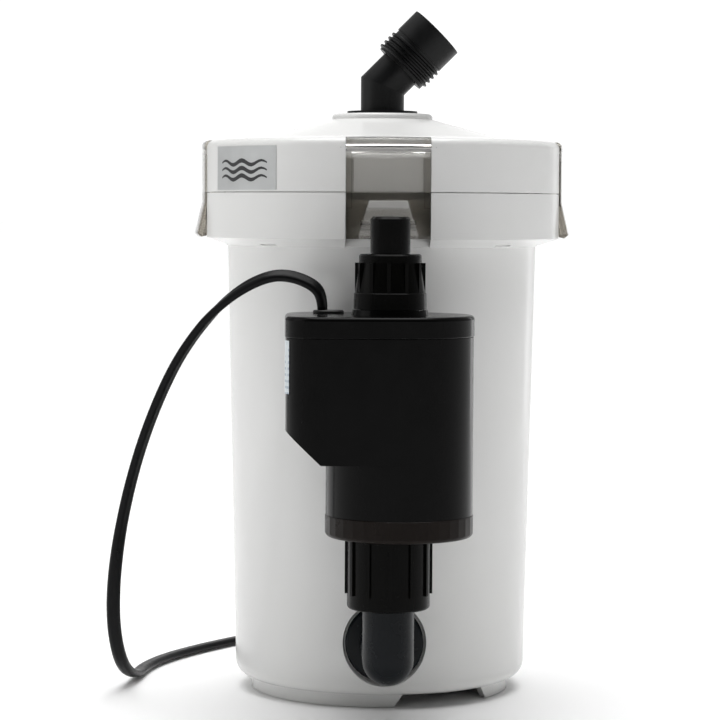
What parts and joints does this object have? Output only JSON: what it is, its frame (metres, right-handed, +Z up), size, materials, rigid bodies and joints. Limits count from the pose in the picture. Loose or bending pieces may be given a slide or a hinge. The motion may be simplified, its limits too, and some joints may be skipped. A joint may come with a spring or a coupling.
{
  "type": "canister filter",
  "caption": "External aquarium canister filter: round drum with a clipped lid and outlet elbow, an inline pump standing beside it, and a mains cord.",
  "frame": {"origin": "on the floor, under the canister's axis, in the plane of its foot arcs", "axes": "+Z up along the canister's axis; the pump stands on the -Y side; the lid's elbow points towards +X"},
  "size_m": [0.196, 0.294, 0.29],
  "materials": {
    "shell_white": "glossy injection-moulded ABS",
    "clip_smoke": "smoky transparent polycarbonate",
    "pump_black": "satin black ABS",
    "fitting_black": "matte black plastic",
    "seal_rubber": "soft black rubber",
    "badge_silver": "brushed silver film",
    "sticker_white": "white film",
    "pin_steel": "ground stainless steel",
    "basket_grey": "dark grey plastic",
    "ceramic": "fired porous ceramic",
    "pad_black": "open black foam",
    "sponge_blue": "coarse open-cell foam",
    "wool_white": "white filter floss",
    "lamination": "stacked electrical steel",
    "winding": "enamelled copper wire",
    "ferrite": "ground ferrite",
    "impeller_white": "natural white acetal",
    "cord_black": "black flexible PVC",
    "plug_metal": "nickel-plated brass",
    "tie_black": "black wrap tie"
  },
  "bodies": {
    "canister": {"canister_body": "shell_white", "bottom_grid": "basket_grey", "pump_housing": "pump_black", "pump_cap": "pump_black", "cord_grommet": "seal_rubber", "pump_label": "sticker_white", "stator_core": "lamination", "stator_coil": "winding", "rotor_shaft": "pin_steel", "shaft_bush_top": "seal_rubber", "shaft_bush_bottom": "seal_rubber", "impeller_cover": "fitting_black", "cover_seal": "seal_rubber", "hose_spigot": "pump_black", "union_seal_upper": "seal_rubber", "union_seal_lower": "seal_rubber", "inlet_elbow": "fitting_black", "elbow_ring": "seal_rubber", "port_fitting": "fitting_black", "port_gasket": "seal_rubber", "port_locknut": "fitting_black", "power_cord": "cord_black", "cord_coil": "cord_black", "cord_tie": "tie_black", "plug_body": "cord_black", "plug_pins": "plug_metal"},
    "lid_group": {"lid": "shell_white", "lid_seal": "seal_rubber", "lid_label": "badge_silver", "clip_pins": "pin_steel"},
    "front_clip": {"clip_front": "clip_smoke"},
    "left_clip": {"clip_left": "clip_smoke"},
    "back_clip": {"clip_back": "clip_smoke"},
    "right_clip": {"clip_right": "clip_smoke"},
    "outlet": {"outlet_elbow": "fitting_black", "elbow_seal": "seal_rubber", "elbow_retainer": "fitting_black"},
    "rotor": {"rotor_magnet": "ferrite", "impeller": "impeller_white"},
    "upper_nut": {"union_nut_upper": "pump_black"},
    "lower_nut": {"union_nut_lower": "pump_black"},
    "low_basket": {"basket_lower": "basket_grey", "ceramic_rings": "ceramic", "bio_pad": "pad_black"},
    "high_basket": {"basket_upper": "basket_grey", "sponge_coarse": "sponge_blue", "wool_fine": "wool_white"}
  },
  "joints": [
    {"name": "lid_lift", "type": "slide", "parent": "canister", "child": "lid_group", "axis": [0, 0, 1], "range_m": [0, 0.32]},
    {"name": "front_clip_swing", "type": "hinge", "parent": "lid_group", "child": "front_clip", "pos_m": [0, -0.0725, 0.23], "axis": [-1, 0, 0], "range_deg": [0, 14]},
    {"name": "left_clip_swing", "type": "hinge", "parent": "lid_group", "child": "left_clip", "pos_m": [-0.0725, 0, 0.23], "axis": [0, 1, 0], "range_deg": [0, 80]},
    {"name": "back_clip_swing", "type": "hinge", "parent": "lid_group", "child": "back_clip", "pos_m": [0, 0.0725, 0.23], "axis": [1, 0, 0], "range_deg": [0, 80]},
    {"name": "right_clip_swing", "type": "hinge", "parent": "lid_group", "child": "right_clip", "pos_m": [0.0725, 0, 0.23], "axis": [0, -1, 0], "range_deg": [0, 80]},
    {"name": "outlet_swivel", "type": "hinge", "parent": "lid_group", "child": "outlet", "pos_m": [0, 0, 0.258], "axis": [0, 0, 1], "continuous": true},
    {"name": "rotor_spin", "type": "hinge", "parent": "canister", "child": "rotor", "pos_m": [0, -0.099, 0.13], "axis": [0, 0, 1], "continuous": true},
    {"name": "upper_nut_turn", "type": "hinge", "parent": "canister", "child": "upper_nut", "pos_m": [0, -0.099, 0.177], "axis": [0, 0, 1], "continuous": true},
    {"name": "lower_nut_turn", "type": "hinge", "parent": "canister", "child": "lower_nut", "pos_m": [0, -0.099, 0.062], "axis": [0, 0, 1], "continuous": true},
    {"name": "high_basket_lift", "type": "slide", "parent": "canister", "child": "high_basket", "axis": [0, 0, 1], "range_m": [0, 0.29]},
    {"name": "low_basket_lift", "type": "slide", "parent": "canister", "child": "low_basket", "axis": [0, 0, 1], "range_m": [0, 0.2]}
  ],
  "couplings": [
    {"joint": "high_basket_lift", "follows": "lid_lift", "ratio": 0.9},
    {"joint": "low_basket_lift", "follows": "lid_lift", "ratio": 0.62}
  ]
}
